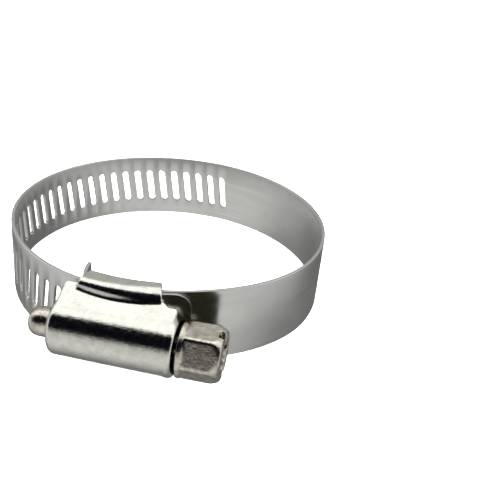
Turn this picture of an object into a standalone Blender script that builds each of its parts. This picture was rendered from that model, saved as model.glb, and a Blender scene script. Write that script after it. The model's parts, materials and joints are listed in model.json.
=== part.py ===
"""Hose clamp, worm-drive type with a slotted band.

Frame: metres, ring axis on Z, origin in the middle of the bore at half the band's width.
The housing and screw sit at -Y; the screw's axis runs along X with its hex head at +X.
Angles called psi are measured round the ring from the housing's middle (-Y), positive
towards the screw's head.
"""

import math

import bpy
import numpy as np
from mathutils.geometry import delaunay_2d_cdt

MM = 0.001

# Band strip
BAND_WIDTH = 12.7 * MM
BAND_THICKNESS = 0.6 * MM
RING_RADIUS = 28.2 * MM
TAIL_RADIUS = 27.75 * MM
LAYER_CLEARANCE = 0.25 * MM
FIXED_RADIUS = TAIL_RADIUS - BAND_THICKNESS - LAYER_CLEARANCE
HINGE_GAP = 0.3 * MM

# Slots the worm drives
SLOT_PITCH = 2.68 * MM
SLOT_WIDTH = 1.25 * MM
SLOT_LENGTH = 6.8 * MM
SLOTS_IN_TAIL_LINK = 11
SLOTS_PER_LINK = 3
SLOTS_PAST_SEAM = 2
SLOT_END_STEPS = 5

# Where the band pieces start and stop, in degrees round the ring
TAIL_END_DEG = 22.5
TAIL_CORNER_RADIUS = 2.6 * MM
TAIL_KINK = 0.3 * MM
TAIL_KINK_LENGTH = 0.9 * MM
FIXED_END_DEG = 16.5
RIGHT_RISE_START_DEG = 21.5
RIGHT_RISE_END_DEG = 74.0
LEFT_RISE_START_DEG = 52.0
LEFT_RISE_END_DEG = 120.0
RIGHT_LINKS = 10
LEFT_LINKS = 8
BEND_STEP = 1.4 * MM

# Fin at the fixed end of the band
FIN_START_DEG = -14.4
FIN_BEND_RADIUS = 0.85 * MM
FIN_BEND_DEG = 56.0
FIN_LENGTH = 3.4 * MM
FIN_CURL_DEG = 36.0

# Worm screw
SCREW_AXIS_OFFSET = 30.9 * MM
THREAD_RADIUS = 3.15 * MM
CORE_RADIUS = 2.15 * MM
THREAD_CREST = 0.5 * MM
THREAD_ROOT = 1.5 * MM
THREAD_START = -7.4 * MM
THREAD_TURNS = 5
THREAD_STEPS = 24
NECK_RADIUS = 1.4 * MM
KNOB_RADIUS = 2.6 * MM
KNOB_END = -13.1 * MM
COLLAR_RADIUS = 4.5 * MM
COLLAR_START = 10.7 * MM
HEX_START = 11.8 * MM
HEX_END = 17.3 * MM
HEX_ACROSS_FLATS = 8.0 * MM
HEX_TURN_DEG = -25.0
DRIVE_SLOT_TURN_DEG = 5.0
DRIVE_SLOT_WIDTH = 1.5 * MM
DRIVE_SLOT_DEPTH = 1.5 * MM
CROSS_SLOT_WIDTH = 0.9 * MM
CROSS_SLOT_LENGTH = 6.0 * MM
CROSS_SLOT_DEPTH = 1.1 * MM

# Housing
SHEET = 0.55 * MM
RUNNING_GAP = 0.25 * MM
WRAP_OUTER_WIDTH = 14.7 * MM
WRAP_START_DEG = -12.8
WRAP_STOP_DEG = 13.4
FOLD_RADIUS = 0.8 * MM
BARREL_RADIUS = 4.75 * MM
BARREL_WALL = 0.9 * MM
BARREL_START = -9.1 * MM
BARREL_STOP = 10.0 * MM
BARREL_END_RADIUS = 0.8 * MM
REAR_HOLE_RADIUS = 1.8 * MM
HEAD_HOLE_RADIUS = 2.6 * MM
SKIRT_START = -8.4 * MM
SKIRT_STOP = 7.0 * MM
SKIRT_HALF_WIDTH = 6.4 * MM
LATHE_STEPS = 48


def clear_scene():
    for item in list(bpy.data.objects):
        bpy.data.objects.remove(item, do_unlink=True)


def make_material(name, colour, metallic, roughness):
    material = bpy.data.materials.new(name)
    material.use_nodes = True
    shader = material.node_tree.nodes["Principled BSDF"]
    shader.inputs["Base Color"].default_value = (*colour, 1.0)
    shader.inputs["Metallic"].default_value = metallic
    shader.inputs["Roughness"].default_value = roughness
    return material


def new_object(name, vertices, faces, material, origin=(0.0, 0.0, 0.0)):
    shift = np.asarray(origin, dtype=float)
    local = [tuple(np.asarray(v, dtype=float) - shift) for v in vertices]
    mesh = bpy.data.meshes.new(name)
    mesh.from_pydata(local, [], [tuple(f) for f in faces])
    mesh.validate()
    if material is not None:
        mesh.materials.append(material)
    item = bpy.data.objects.new(name, mesh)
    item.location = tuple(shift)
    bpy.context.scene.collection.objects.link(item)
    return item


def boolean(target, cutter, operation):
    modifier = target.modifiers.new(operation.lower(), "BOOLEAN")
    modifier.operation = operation
    modifier.solver = "EXACT"
    modifier.object = cutter
    bpy.context.view_layer.objects.active = target
    bpy.context.view_layer.update()
    graph = bpy.context.evaluated_depsgraph_get()
    result = bpy.data.meshes.new_from_object(target.evaluated_get(graph))
    target.modifiers.remove(modifier)
    target.data = result
    bpy.data.objects.remove(cutter, do_unlink=True)


# ---------------------------------------------------------------- band path

def smooth(value):
    value = min(max(value, 0.0), 1.0)
    return value * value * (3.0 - 2.0 * value)


def right_radius(psi_deg):
    span = RIGHT_RISE_END_DEG - RIGHT_RISE_START_DEG
    share = smooth((psi_deg - RIGHT_RISE_START_DEG) / span)
    return FIXED_RADIUS + share * (RING_RADIUS - FIXED_RADIUS)


def left_radius(psi_deg):
    span = LEFT_RISE_END_DEG - LEFT_RISE_START_DEG
    share = smooth((-psi_deg - LEFT_RISE_START_DEG) / span)
    return TAIL_RADIUS + share * (RING_RADIUS - TAIL_RADIUS)


def ring_point(psi_deg, radius):
    angle = math.radians(psi_deg)
    return np.array([radius * math.sin(angle), -radius * math.cos(angle)])


def cumulative_length(points):
    steps = np.linalg.norm(np.diff(points, axis=0), axis=1)
    return np.concatenate([[0.0], np.cumsum(steps)])


class Centreline:
    """Mid-thickness line of a bent strip; u is length along it, n points outwards."""

    def __init__(self, points):
        self.points = np.asarray(points, dtype=float)
        self.u = cumulative_length(self.points)
        tangent = np.gradient(self.points, axis=0)
        tangent /= np.linalg.norm(tangent, axis=1)[:, None]
        self.normal = np.stack([tangent[:, 1], -tangent[:, 0]], axis=1)

    def length(self):
        return self.u[-1]

    def at(self, u, offset):
        x = np.interp(u, self.u, self.points[:, 0] + offset * self.normal[:, 0])
        y = np.interp(u, self.u, self.points[:, 1] + offset * self.normal[:, 1])
        return np.array([x, y])


def arc_centreline(start_deg, stop_deg, radius_of):
    mean = radius_of(0.5 * (start_deg + stop_deg))
    span = abs(math.radians(stop_deg - start_deg)) * mean
    count = max(2, int(round(span / BEND_STEP)))
    angles = np.linspace(start_deg, stop_deg, count + 1)
    return Centreline([ring_point(a, radius_of(a)) for a in angles])


def left_length_table():
    angles = np.linspace(0.0, -180.0, 3601)
    points = np.array([ring_point(a, left_radius(a)) for a in angles])
    return cumulative_length(points), angles


# ---------------------------------------------------------------- flat outlines

def slot_outline(centre_u):
    half = 0.5 * (SLOT_LENGTH - SLOT_WIDTH)
    lean = SLOT_PITCH / (2.0 * math.pi * (THREAD_RADIUS - 0.22 * MM))
    loop = []
    for side in (1.0, -1.0):
        for step in range(SLOT_END_STEPS + 1):
            turn = math.pi * step / SLOT_END_STEPS
            du = side * math.cos(turn) * 0.5 * SLOT_WIDTH
            dz = side * (half + math.sin(turn) * 0.5 * SLOT_WIDTH)
            loop.append((centre_u + du + lean * dz, dz))
    return loop


def strip_outline(length, corner):
    half = 0.5 * BAND_WIDTH
    if corner <= 0.0:
        return [(0.0, -half), (length, -half), (length, half), (0.0, half)]
    loop = [(0.0, -half)]
    for side in (-1.0, 1.0):
        for step in range(7):
            turn = 0.5 * math.pi * step / 6
            if side > 0.0:
                turn = 0.5 * math.pi - turn
            u = length - corner + corner * math.sin(turn)
            loop.append((u, side * (half - corner + corner * math.cos(turn))))
    loop.append((0.0, half))
    return loop


def inside(loop, point):
    hit = False
    for (ua, za), (ub, zb) in zip(loop, loop[1:] + loop[:1]):
        if (za > point[1]) != (zb > point[1]):
            if point[0] < ua + (point[1] - za) * (ub - ua) / (zb - za):
                hit = not hit
    return hit


def flat_triangles(outline, holes, bends):
    """Triangles of an outline with holes, with a crease line at every bend."""
    points, edges = [], []
    for loop in [outline] + holes:
        first = len(points)
        points += loop
        edges += [(first + k, first + (k + 1) % len(loop)) for k in range(len(loop))]
    half = 0.5 * BAND_WIDTH
    for u in bends:
        edges.append((len(points), len(points) + 1))
        points += [(u, -half), (u, half)]
    result = delaunay_2d_cdt(points, edges, [], 0, 1e-9)
    verts = [tuple(v) for v in result[0]]
    kept = []
    for face in result[2]:
        middle = np.mean([verts[i] for i in face], axis=0)
        if inside(outline, middle) and not any(inside(h, middle) for h in holes):
            kept.append(tuple(face))
    used = sorted({i for face in kept for i in face})
    index = {old: new for new, old in enumerate(used)}
    return [verts[i] for i in used], [tuple(index[i] for i in f) for f in kept]


def signed_area(verts, face):
    (ax, ay), (bx, by), (cx, cy) = (verts[i] for i in face)
    return (bx - ax) * (cy - ay) - (by - ay) * (cx - ax)


def band_piece(name, line, slots, material, origin, corner=0.0, kink=0.0):
    """A bent strip with slots at the given lengths along its centreline."""
    length = line.length()
    outline = strip_outline(length, corner)
    holes = [slot_outline(u) for u in slots]
    flat, faces = flat_triangles(outline, holes, line.u[1:-1])
    faces = [f if signed_area(flat, f) > 0.0 else f[::-1] for f in faces]
    count = len(flat)
    verts = []
    for side in (0.5 * BAND_THICKNESS, -0.5 * BAND_THICKNESS):
        for u, z in flat:
            lift = kink * smooth((u - length + TAIL_KINK_LENGTH) / TAIL_KINK_LENGTH)
            x, y = line.at(u, side + lift)
            verts.append((x, y, z))
    border = {}
    for face in faces:
        for a, b in zip(face, face[1:] + face[:1]):
            if (b, a) in border:
                del border[(b, a)]
            else:
                border[(a, b)] = True
    solid = list(faces)
    solid += [tuple(count + i for i in f[::-1]) for f in faces]
    solid += [(b, a, count + a, count + b) for a, b in border]
    return new_object(name, verts, solid, material, origin)


# ---------------------------------------------------------------- band pieces

def half_gap_deg(radius):
    return math.degrees(0.5 * HINGE_GAP / radius)


def left_stations():
    """Angles and lengths along the band of the left hinges and of the seam."""
    lengths, angles = left_length_table()
    first = lengths[-1] - LEFT_LINKS * SLOTS_PER_LINK * SLOT_PITCH
    marks = [first + k * SLOTS_PER_LINK * SLOT_PITCH for k in range(LEFT_LINKS + 1)]
    return [float(np.interp(m, lengths, angles)) for m in marks], marks


def build_left_links(material):
    stations, _ = left_stations()
    for k in range(LEFT_LINKS):
        start, stop = stations[k], stations[k + 1]
        r0, r1 = left_radius(start), left_radius(stop)
        cut0 = half_gap_deg(r0)
        cut1 = half_gap_deg(r1)
        line = arc_centreline(stop + cut1, start - cut0, left_radius)
        slots = [(j + 0.5) * SLOT_PITCH - 0.5 * HINGE_GAP for j in range(SLOTS_PER_LINK)]
        pivot = (*ring_point(start, r0), 0.0)
        band_piece(f"band_link_left_{k + 1}", line, slots, material, pivot)


def build_right_links(material):
    stations = np.linspace(FIXED_END_DEG, 180.0, RIGHT_LINKS + 1)
    for k in range(RIGHT_LINKS):
        start, stop = stations[k], stations[k + 1]
        seam = k == RIGHT_LINKS - 1
        r0, r1 = right_radius(start), right_radius(stop)
        cut0 = half_gap_deg(r0)
        cut1 = half_gap_deg(r1)
        line = arc_centreline(start + cut0, stop - cut1, right_radius)
        slots = []
        if seam:
            for j in range(SLOTS_PAST_SEAM):
                slots.append(line.length() - (j + 0.5) * SLOT_PITCH + 0.5 * HINGE_GAP)
        pivot = (*ring_point(start, r0), 0.0)
        band_piece(f"band_link_right_{k + 1}", line, slots, material, pivot)


def build_tail_link(material):
    stations, _ = left_stations()
    cut = half_gap_deg(TAIL_RADIUS)
    line = arc_centreline(stations[0] + cut, TAIL_END_DEG, lambda psi: TAIL_RADIUS)
    slots = []
    for j in range(SLOTS_IN_TAIL_LINK):
        slots.append((j + 0.5) * SLOT_PITCH - 0.5 * HINGE_GAP)
    band_piece("band_tail", line, slots, material, (0.0, 0.0, 0.0),
               corner=TAIL_CORNER_RADIUS, kink=TAIL_KINK)


def build_fixed_end(material):
    """Plain end held in the housing, with its tip curled in to a fin."""
    cut = half_gap_deg(FIXED_RADIUS)
    stop = FIXED_END_DEG - cut
    span = math.radians(stop - FIN_START_DEG) * FIXED_RADIUS
    count = int(round(span / BEND_STEP))
    arc = [ring_point(a, FIXED_RADIUS) for a in np.linspace(stop, FIN_START_DEG, count + 1)]
    heading = math.radians(FIN_START_DEG) + math.pi
    place = arc[-1]
    points = list(arc)
    steps = 6
    turn = math.radians(FIN_BEND_DEG) / steps
    stride = FIN_BEND_RADIUS * turn
    for _ in range(steps):
        heading -= 0.5 * turn
        place = place + stride * np.array([math.cos(heading), math.sin(heading)])
        heading -= 0.5 * turn
        points.append(place)
    for _ in range(3):
        heading -= math.radians(FIN_CURL_DEG) / 3
        place = place + FIN_LENGTH / 3 * np.array([math.cos(heading), math.sin(heading)])
        points.append(place)
    line = Centreline(points[::-1])
    band_piece("band_fixed_end", line, [], material, (0.0, 0.0, 0.0))


# ---------------------------------------------------------------- turned shapes

def lathe(name, profile, material=None, steps=LATHE_STEPS):
    """Closed solid turned about the screw's axis from (position, radius) pairs."""
    verts, faces, rings = [], [], []
    for position, radius in profile:
        if radius <= 0.0:
            rings.append([len(verts)])
            verts.append((position, -SCREW_AXIS_OFFSET, 0.0))
            continue
        rings.append(list(range(len(verts), len(verts) + steps)))
        for k in range(steps):
            turn = 2.0 * math.pi * k / steps
            y = -SCREW_AXIS_OFFSET + radius * math.cos(turn)
            verts.append((position, y, radius * math.sin(turn)))
    for first, second in zip(rings[:-1], rings[1:]):
        for k in range(steps):
            n = (k + 1) % steps
            if len(first) == 1:
                faces.append((first[0], second[n], second[k]))
            elif len(second) == 1:
                faces.append((first[k], first[n], second[0]))
            else:
                faces.append((first[k], first[n], second[n], second[k]))
    return new_object(name, verts, faces, material, (0.0, -SCREW_AXIS_OFFSET, 0.0))


def rounded_end(position, radius, corner, direction, steps=4):
    """Profile points of a rounded rim; direction is +1 when the end faces +X."""
    points = []
    for k in range(steps + 1):
        turn = 0.5 * math.pi * k / steps
        x = position - direction * corner * (1.0 - math.sin(turn))
        points.append((x, radius - corner + corner * math.cos(turn)))
    return points if direction > 0 else points[::-1]


def prism(name, loop, start, stop):
    """Straight solid along X from a loop of (y, z) corners."""
    count = len(loop)
    verts = [(start, y, z) for y, z in loop] + [(stop, y, z) for y, z in loop]
    faces = [tuple(range(count))[::-1], tuple(range(count, 2 * count))]
    for k in range(count):
        n = (k + 1) % count
        faces.append((k, n, count + n, count + k))
    return new_object(name, verts, faces, None)


def box(name, low, high):
    loop = [(low[1], low[2]), (high[1], low[2]), (high[1], high[2]), (low[1], high[2])]
    return prism(name, loop, low[0], high[0])


def swept_block(name, loop, start_deg, stop_deg, steps):
    """Solid swept round the ring's axis from a loop of (radius, z) corners."""
    verts, faces = [], []
    count = len(loop)
    for psi in np.linspace(start_deg, stop_deg, steps + 1):
        for radius, z in loop:
            x, y = ring_point(psi, radius)
            verts.append((x, y, z))
    faces.append(tuple(range(count)))
    faces.append(tuple(range(steps * count, (steps + 1) * count))[::-1])
    for s in range(steps):
        for k in range(count):
            n = (k + 1) % count
            a, b = s * count + k, s * count + n
            faces.append((a, a + count, b + count, b))
    return new_object(name, verts, faces, None)


def rounded_rectangle(r0, r1, half, corner, steps=3):
    loop = []
    for cr, cz, base in ((r1 - corner, half - corner, 0.0),
                         (r0 + corner, half - corner, 90.0),
                         (r0 + corner, corner - half, 180.0),
                         (r1 - corner, corner - half, 270.0)):
        for k in range(steps + 1):
            turn = math.radians(base + 90.0 * k / steps)
            loop.append((cr + corner * math.cos(turn), cz + corner * math.sin(turn)))
    return loop


# ---------------------------------------------------------------- screw

def thread_phase():
    """Position along X of one slot's middle under the screw."""
    _, marks = left_stations()
    nearest = marks[0] - 0.5 * SLOT_PITCH
    return -(nearest - math.floor(nearest / SLOT_PITCH) * SLOT_PITCH)


def thread_ridge():
    """Right-hand helical ridge whose ends sink into the core."""
    offset = math.floor((THREAD_START - thread_phase()) / SLOT_PITCH) + 1
    start = thread_phase() + offset * SLOT_PITCH
    verts, faces = [], []
    total = THREAD_TURNS * THREAD_STEPS
    for k in range(total + 1):
        turn = 2.0 * math.pi * k / THREAD_STEPS
        fade = smooth(min(k, total - k) / (0.35 * THREAD_STEPS))
        low = CORE_RADIUS - 0.35 * MM
        crest = low + 0.1 * MM + fade * (THREAD_RADIUS - low - 0.1 * MM)
        middle = start + SLOT_PITCH * k / THREAD_STEPS
        corners = ((-0.5 * THREAD_ROOT, low), (-0.5 * THREAD_CREST, crest),
                   (0.5 * THREAD_CREST, crest), (0.5 * THREAD_ROOT, low))
        for shift, radius in corners:
            y = -SCREW_AXIS_OFFSET + radius * math.cos(turn)
            verts.append((middle + shift, y, radius * math.sin(turn)))
    for k in range(total):
        for c in range(4):
            n = (c + 1) % 4
            a, b = 4 * k + c, 4 * k + n
            faces.append((a, b, b + 4, a + 4))
    faces.append((3, 2, 1, 0))
    faces.append(tuple(4 * total + c for c in range(4)))
    return new_object("thread_ridge", verts, faces, None)


def screw_body(material):
    profile = [(KNOB_END, 0.0), (KNOB_END, 1.3 * MM)]
    profile += [(KNOB_END + 0.25 * MM, 1.9 * MM), (KNOB_END + 0.75 * MM, 2.4 * MM)]
    profile += [(KNOB_END + 1.3 * MM, KNOB_RADIUS), (BARREL_START - 0.75 * MM, KNOB_RADIUS)]
    profile += [(BARREL_START - 0.35 * MM, 2.1 * MM), (BARREL_START - 0.35 * MM, NECK_RADIUS)]
    profile += [(BARREL_START + BARREL_WALL + 0.4 * MM, NECK_RADIUS)]
    profile += [(BARREL_START + BARREL_WALL + 0.4 * MM, CORE_RADIUS)]
    profile += [(COLLAR_START, CORE_RADIUS), (COLLAR_START, COLLAR_RADIUS - 0.35 * MM)]
    profile += [(COLLAR_START + 0.25 * MM, COLLAR_RADIUS)]
    profile += [(COLLAR_START + 0.65 * MM, COLLAR_RADIUS)]
    profile += [(HEX_START, 0.5 * HEX_ACROSS_FLATS - 0.1 * MM)]
    profile += [(HEX_START + 0.4 * MM, 0.5 * HEX_ACROSS_FLATS - 0.1 * MM)]
    profile += [(HEX_START + 0.4 * MM, 0.0)]
    return lathe("worm_screw", profile, material)


def hex_head():
    corner = HEX_ACROSS_FLATS / math.sqrt(3.0)
    loop = []
    for k in range(6):
        turn = math.radians(60.0 * k + 30.0 + HEX_TURN_DEG)
        loop.append((-SCREW_AXIS_OFFSET + corner * math.cos(turn), corner * math.sin(turn)))
    head = prism("hex_head", loop, HEX_START - 0.15 * MM, HEX_END)
    flat = 0.5 * HEX_ACROSS_FLATS
    profile = [(HEX_START - 0.15 * MM, 0.0), (HEX_START - 0.15 * MM, flat)]
    profile += [(HEX_START + 0.25 * MM, corner + 0.1 * MM)]
    profile += [(HEX_END - 0.45 * MM, corner + 0.1 * MM)]
    profile += [(HEX_END, flat - 0.25 * MM), (HEX_END, 0.0)]
    boolean(head, lathe("hex_chamfer", profile), "INTERSECT")
    return head


def end_slot(width, length, depth):
    """Block that cuts a slot into the screw's end, turned with the hex."""
    turn = math.radians(DRIVE_SLOT_TURN_DEG)
    loop = []
    for a, b in ((-1, -1), (1, -1), (1, 1), (-1, 1)):
        across, along = 0.5 * a * width, 0.5 * b * length
        y = across * math.cos(turn) - along * math.sin(turn)
        z = across * math.sin(turn) + along * math.cos(turn)
        loop.append((y - SCREW_AXIS_OFFSET, z))
    return prism("end_slot", loop, HEX_END - depth, HEX_END + 1.0 * MM)


def build_screw(material):
    screw = screw_body(material)
    boolean(screw, thread_ridge(), "UNION")
    boolean(screw, hex_head(), "UNION")
    drive = end_slot(DRIVE_SLOT_WIDTH, 12.0 * MM, DRIVE_SLOT_DEPTH)
    boolean(screw, drive, "DIFFERENCE")
    cross = end_slot(CROSS_SLOT_LENGTH, CROSS_SLOT_WIDTH, CROSS_SLOT_DEPTH)
    boolean(screw, cross, "DIFFERENCE")


# ---------------------------------------------------------------- housing

def skirt_loop():
    """Concave flanks between the barrel and the wrap's shoulders, as (y, z) corners."""
    base = TAIL_RADIUS + 0.5 * BAND_THICKNESS + RUNNING_GAP + 0.1 * MM
    top = SCREW_AXIS_OFFSET + 1.2 * MM
    width_top = math.sqrt((BARREL_RADIUS - 0.05 * MM) ** 2 - (1.2 * MM) ** 2)
    level = base + 0.4 * MM
    side = []
    for k in range(6):
        share = k / 5.0
        ease = (1.0 - share) ** 2.6
        z = width_top + (SKIRT_HALF_WIDTH - width_top) * ease
        side.append((-(level + (top - level) * share), z))
    loop = [(-base, SKIRT_HALF_WIDTH)] + side
    return loop + [(y, -z) for y, z in loop[::-1]]


def housing_barrel():
    profile = [(BARREL_START, 0.0)]
    profile += rounded_end(BARREL_START, BARREL_RADIUS, BARREL_END_RADIUS, -1)
    profile += rounded_end(BARREL_STOP, BARREL_RADIUS, BARREL_END_RADIUS, 1)
    profile += [(BARREL_STOP, 0.0)]
    return lathe("housing", profile)


def build_housing(material):
    inner = FIXED_RADIUS - 0.5 * BAND_THICKNESS - RUNNING_GAP
    outer = TAIL_RADIUS + 0.5 * BAND_THICKNESS + RUNNING_GAP
    half = 0.5 * WRAP_OUTER_WIDTH
    shell = housing_barrel()
    shell.data.materials.append(material)
    boolean(shell, prism("skirt", skirt_loop(), SKIRT_START, SKIRT_STOP), "UNION")
    passage = [(20.0 * MM, -9.0 * MM), (outer, -9.0 * MM), (outer, 9.0 * MM), (20.0 * MM, 9.0 * MM)]
    boolean(shell, swept_block("passage", passage, -40.0, 40.0, 56), "DIFFERENCE")
    loop = rounded_rectangle(inner - SHEET, outer + SHEET, half, FOLD_RADIUS)
    wrap = swept_block("wrap", loop, WRAP_START_DEG, WRAP_STOP_DEG, 20)
    width = 0.5 * BAND_WIDTH + RUNNING_GAP
    cavity = [(inner, -width), (outer, -width), (outer, width), (inner, width)]
    boolean(wrap, swept_block("cavity", cavity, -21.0, 21.0, 30), "DIFFERENCE")
    boolean(shell, wrap, "UNION")
    bore = [(BARREL_START - 1.0 * MM, 0.0), (BARREL_START - 1.0 * MM, REAR_HOLE_RADIUS)]
    bore += [(BARREL_START + BARREL_WALL, REAR_HOLE_RADIUS)]
    bore += [(BARREL_START + BARREL_WALL, BARREL_RADIUS - BARREL_WALL)]
    bore += [(BARREL_STOP - BARREL_WALL, BARREL_RADIUS - BARREL_WALL)]
    bore += [(BARREL_STOP - BARREL_WALL, HEAD_HOLE_RADIUS)]
    bore += [(BARREL_STOP + 1.0 * MM, HEAD_HOLE_RADIUS), (BARREL_STOP + 1.0 * MM, 0.0)]
    keep = lathe("bore", bore)
    floor = box("bore_floor", (-20.0 * MM, -outer + 0.9 * MM, -9.0 * MM), (20.0 * MM, 0.0, 9.0 * MM))
    boolean(keep, floor, "DIFFERENCE")
    boolean(shell, keep, "DIFFERENCE")


def main():
    clear_scene()
    band = make_material("band_stainless", (0.62, 0.63, 0.64), 1.0, 0.32)
    shell = make_material("housing_bright", (0.72, 0.72, 0.69), 1.0, 0.14)
    screw = make_material("screw_plated", (0.66, 0.67, 0.63), 1.0, 0.22)
    build_housing(shell)
    build_screw(screw)
    build_fixed_end(band)
    build_tail_link(band)
    build_right_links(band)
    build_left_links(band)


main()
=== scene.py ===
"""Looks of the worm-drive hose clamp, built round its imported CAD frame.

Lengths are metres. The ring's axis is Z, the housing and screw sit at -Y and the screw's
axis runs along X with its head at +X. Angles called psi go round the ring from the
housing's middle, positive towards the screw's head.
"""

import json
import math

import bpy
import numpy as np
from mathutils import Matrix, Vector
from mathutils.geometry import delaunay_2d_cdt


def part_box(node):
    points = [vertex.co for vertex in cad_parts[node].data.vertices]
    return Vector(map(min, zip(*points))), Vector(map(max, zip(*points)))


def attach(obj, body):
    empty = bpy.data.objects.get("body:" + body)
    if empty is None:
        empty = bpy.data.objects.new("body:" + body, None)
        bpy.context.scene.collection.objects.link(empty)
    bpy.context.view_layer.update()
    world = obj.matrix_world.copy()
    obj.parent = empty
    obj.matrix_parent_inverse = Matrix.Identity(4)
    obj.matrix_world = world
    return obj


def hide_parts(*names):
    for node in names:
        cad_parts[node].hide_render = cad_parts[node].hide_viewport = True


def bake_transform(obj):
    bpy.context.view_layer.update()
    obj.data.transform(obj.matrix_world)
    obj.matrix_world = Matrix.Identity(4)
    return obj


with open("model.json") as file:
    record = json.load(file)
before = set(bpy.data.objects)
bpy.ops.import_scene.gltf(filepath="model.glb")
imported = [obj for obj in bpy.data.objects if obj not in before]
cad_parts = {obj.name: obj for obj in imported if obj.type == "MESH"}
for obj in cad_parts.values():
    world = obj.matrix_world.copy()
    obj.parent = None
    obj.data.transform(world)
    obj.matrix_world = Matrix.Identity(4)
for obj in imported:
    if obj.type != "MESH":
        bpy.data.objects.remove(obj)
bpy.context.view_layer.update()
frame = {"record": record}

MM = 0.001
TINY = 1e-7
JOINTS = {joint["name"]: joint for joint in frame["record"]["behaviour"]["joints"]}

# Band strip
BAND_HALF_WIDTH = 6.35 * MM
BAND_HALF_THICKNESS = 0.3 * MM
BAND_EDGE_RADIUS = 0.09 * MM
RING_RADIUS = 28.2 * MM
TAIL_RADIUS = 27.75 * MM
FIXED_RADIUS = 26.9 * MM
RIGHT_RISE_DEG = (21.5, 74.0)
LEFT_RISE_DEG = (52.0, 120.0)
BEND_STEP = 0.45 * MM
ARC_STEP_DEG = 0.9
FIRST_BLEND_REACH = 1.5 * MM
LONGEST_BLEND_REACH = 3.9 * MM
TAIL_END_DEG = 22.5
TAIL_CORNER_RADIUS = 2.6 * MM
TAIL_KINK = 0.3 * MM
TAIL_KINK_LENGTH = 0.9 * MM
FIN_START_DEG = -12.7
FIN_BEND_RADIUS = 0.7 * MM
FIN_BEND_DEG = 55.0
FIN_LENGTH = 4.1 * MM
FIN_CURL_DEG = 20.0

# Slots
SLOT_PITCH = 2.68 * MM
SLOT_WIDTH = 1.25 * MM
SLOT_LENGTH = 6.8 * MM
SLOT_LEAN = 0.146
SLOTS_PER_LINK = 3
SLOTS_IN_TAIL = 11
LEFT_LINKS = 8
RIGHT_LINKS = 10

# Screw
AXIS_Y = JOINTS["screw_turn"]["pos_m"][1]
THREAD_RADIUS = 3.15 * MM
THREAD_TURNS = 5
THREAD_ROOT_HALF = 0.75 * MM
THREAD_SHOULDER_HALF = 0.3 * MM
THREAD_CREST_HALF = 0.2 * MM
THREAD_ROUNDING = 0.06 * MM
CORE_RADIUS = 2.15 * MM
COLLAR_START = 10.7 * MM
COLLAR_RADIUS = 4.5 * MM
HEX_START = 11.8 * MM
HEX_END = 17.3 * MM
HEX_HALF_FLATS = 4.0 * MM
HEX_TURN_DEG = 5.0
HEX_EDGE = 0.45 * MM
CHAMFER_DEG = 27.0
DRIVE_SLOT_WIDTH = 1.5 * MM
DRIVE_SLOT_DEPTH = 1.0 * MM
CROSS_SLOT_LENGTH = 6.0 * MM
CROSS_SLOT_WIDTH = 0.9 * MM
CROSS_SLOT_DEPTH = 1.1 * MM
PIT_RADIUS = 1.25 * MM
PIT_DEPTH = 1.3 * MM
KNOB_END = -13.1 * MM
KNOB_RADIUS = 2.35 * MM
KNOB_FACE_RADIUS = 1.1 * MM
KNOB_BEVEL_RADIUS = 2.0 * MM
NECK_RADIUS = 1.4 * MM

# Housing
BARREL_START = -9.1 * MM
BARREL_STOP = 10.35 * MM
BARREL_RADIUS_REAR = 4.52 * MM
BARREL_RADIUS_HEAD = 4.66 * MM
BARREL_EDGE = 0.95 * MM
LIP_HEIGHT = 0.11 * MM
LIP_LENGTH = 1.9 * MM
LIP_RISE = 0.9 * MM
SHEET = 0.55 * MM
BARREL_SHEET = 0.8 * MM
CUT_EDGE = 0.12 * MM
SKIRT_START = -8.8 * MM
SKIRT_STOP = 9.7 * MM
SKIRT_EDGE = 0.9 * MM
FLANK_LEAN_REAR_DEG = 26.0
FLANK_LEAN_HEAD_DEG = 20.0
FLANK_PAST_AXIS = 1.5 * MM
FLANK_OVERLAP = 0.3 * MM
FLANK_DROP = 1.1 * MM
FLANK_DROP_START = 6.6 * MM
FLANK_DROP_LENGTH = 1.6 * MM
WRAP_INNER = 25.8 * MM
WRAP_OUTER = 29.8 * MM
WRAP_SHOULDER = (1.5 * MM, 2.5 * MM)
WRAP_FOLD = 0.6 * MM
WRAP_CORNER_OUTER = 0.35 * MM
WRAP_CORNER_INNER = 1.0 * MM
WRAP_JOIN = 0.55 * MM
WRAP_HALF_WIDTH = 7.35 * MM
WRAP_DEG = (-12.4, 13.2)
PASSAGE_OUTER = 28.3 * MM
PASSAGE_INNER = 26.35 * MM
PASSAGE_HALF_WIDTH = 6.6 * MM
REAR_HOLE_RADIUS = 1.8 * MM
HEAD_HOLE_RADIUS = 3.85 * MM
HOLE_REACH = 6.0 * MM


# ---------------------------------------------------------------- materials

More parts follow.
